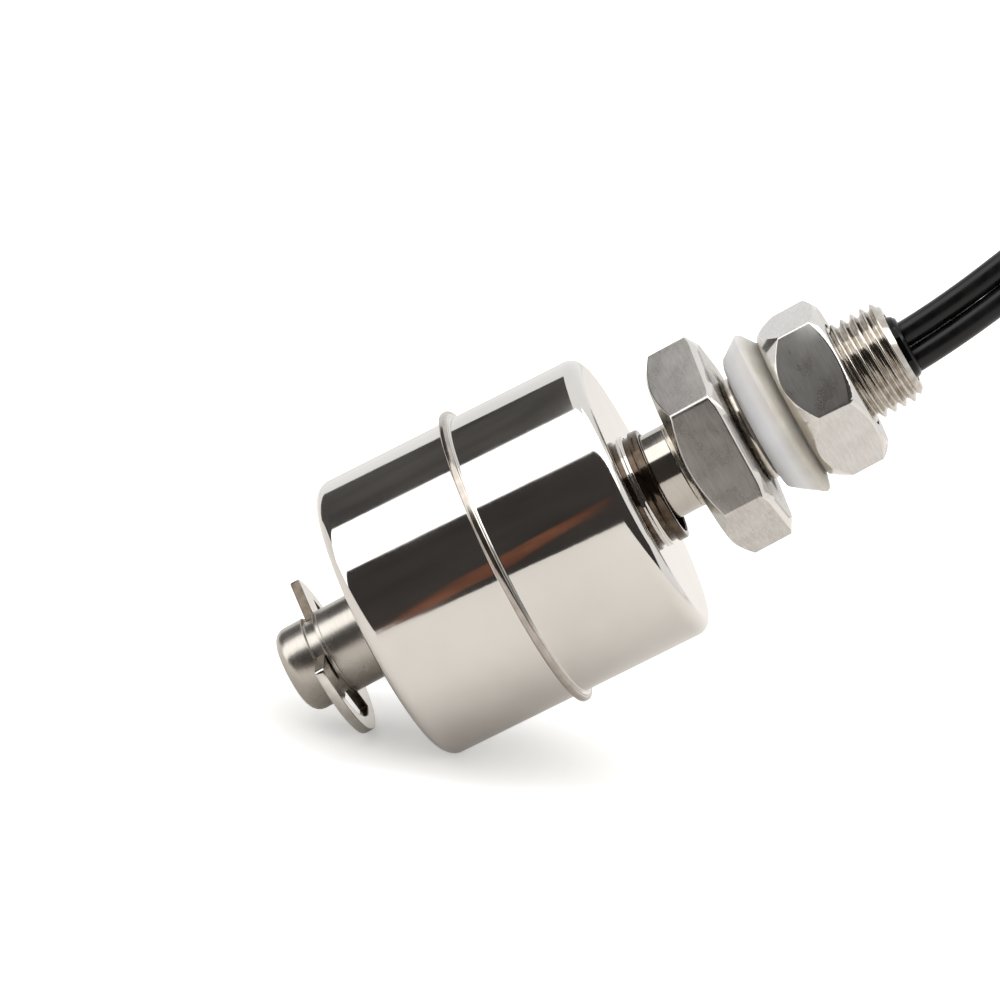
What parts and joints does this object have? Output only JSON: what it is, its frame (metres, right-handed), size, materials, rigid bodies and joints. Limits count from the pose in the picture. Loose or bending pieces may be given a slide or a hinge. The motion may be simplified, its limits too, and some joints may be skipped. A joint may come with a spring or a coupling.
{
  "type": "float level switch",
  "caption": "Vertical float level switch: a polished cylindrical float slides on a stem below a hexagonal threaded head with a silicone gasket, a nut and two black leads.",
  "frame": {"origin": "centre of the flange's sealing face, on the stem's axis", "axes": "+Z along the stem's axis towards the leads, out of the tank; the float hangs on the stem in -Z"},
  "size_m": [0.0296, 0.054, 0.0874],
  "materials": {
    "turned_steel": "satin turned stainless steel",
    "polished_steel": "mirror polished stainless steel",
    "nut_steel": "bright stainless steel with turned chamfers",
    "clip_steel": "bright stamped spring steel",
    "weld_steel": "smooth weld bead",
    "silicone": "milky translucent silicone",
    "magnet": "sintered magnet",
    "collar_brass": "turned brass",
    "reed_glass": "clear sealed glass",
    "reed_alloy": "plated nickel-iron",
    "solder": "dull solder",
    "sleeve_plastic": "insulating sleeve",
    "wire_insulation": "thin wire insulation",
    "resin": "glossy black potting resin",
    "lead_jacket": "glossy black lead insulation",
    "tinned_copper": "tinned copper strands",
    "tie_plastic": "black nylon tie"
  },
  "bodies": {
    "switch_stem": {"mounting_bolt": "turned_steel", "stem_tube": "polished_steel", "stem_plug": "polished_steel", "stem_weld": "weld_steel", "retaining_clip": "clip_steel", "potting_resin": "resin", "insulating_sleeve": "sleeve_plastic", "reed_glass": "reed_glass", "reed_blade_upper": "reed_alloy", "reed_blade_lower": "reed_alloy", "feed_wire": "wire_insulation", "return_wire": "wire_insulation", "solder_joint_upper": "solder", "solder_joint_lower": "solder", "lead_a": "lead_jacket", "lead_b": "lead_jacket", "lead_a_coil": "lead_jacket", "lead_b_coil": "lead_jacket", "coil_tie": "tie_plastic", "conductor_end_a": "tinned_copper", "conductor_end_b": "tinned_copper"},
    "gasket": {"sealing_gasket": "silicone"},
    "nut": {"mounting_nut": "nut_steel"},
    "float_magnet": {"ring_magnet": "magnet", "magnet_collar_upper": "collar_brass", "magnet_collar_lower": "collar_brass"},
    "float_shell": {"float_upper_shell": "polished_steel", "float_lower_shell": "polished_steel", "float_seam_weld": "polished_steel", "float_guide_tube": "polished_steel"}
  },
  "joints": [
    {"name": "float_rise", "type": "slide", "parent": "switch_stem", "child": "float_magnet", "axis": [0, 0, 1], "range_m": [-0.0045, 0.0024]},
    {"name": "float_spin", "type": "hinge", "parent": "float_magnet", "child": "float_shell", "pos_m": [0.0001, 0, -0.0241], "axis": [0.0305, 0, 0.9995], "continuous": true},
    {"name": "nut_travel", "type": "slide", "parent": "switch_stem", "child": "gasket", "axis": [0, 0, 1], "range_m": [-0.0011, 0.005]},
    {"name": "nut_turn", "type": "hinge", "parent": "gasket", "child": "nut", "pos_m": [0, 0, 0.008], "axis": [0, 0, 1], "range_deg": [-390, 1790]}
  ],
  "couplings": [
    {"joint": "nut_travel", "follows": "nut_turn", "m_per_rad": 0.00015915}
  ]
}
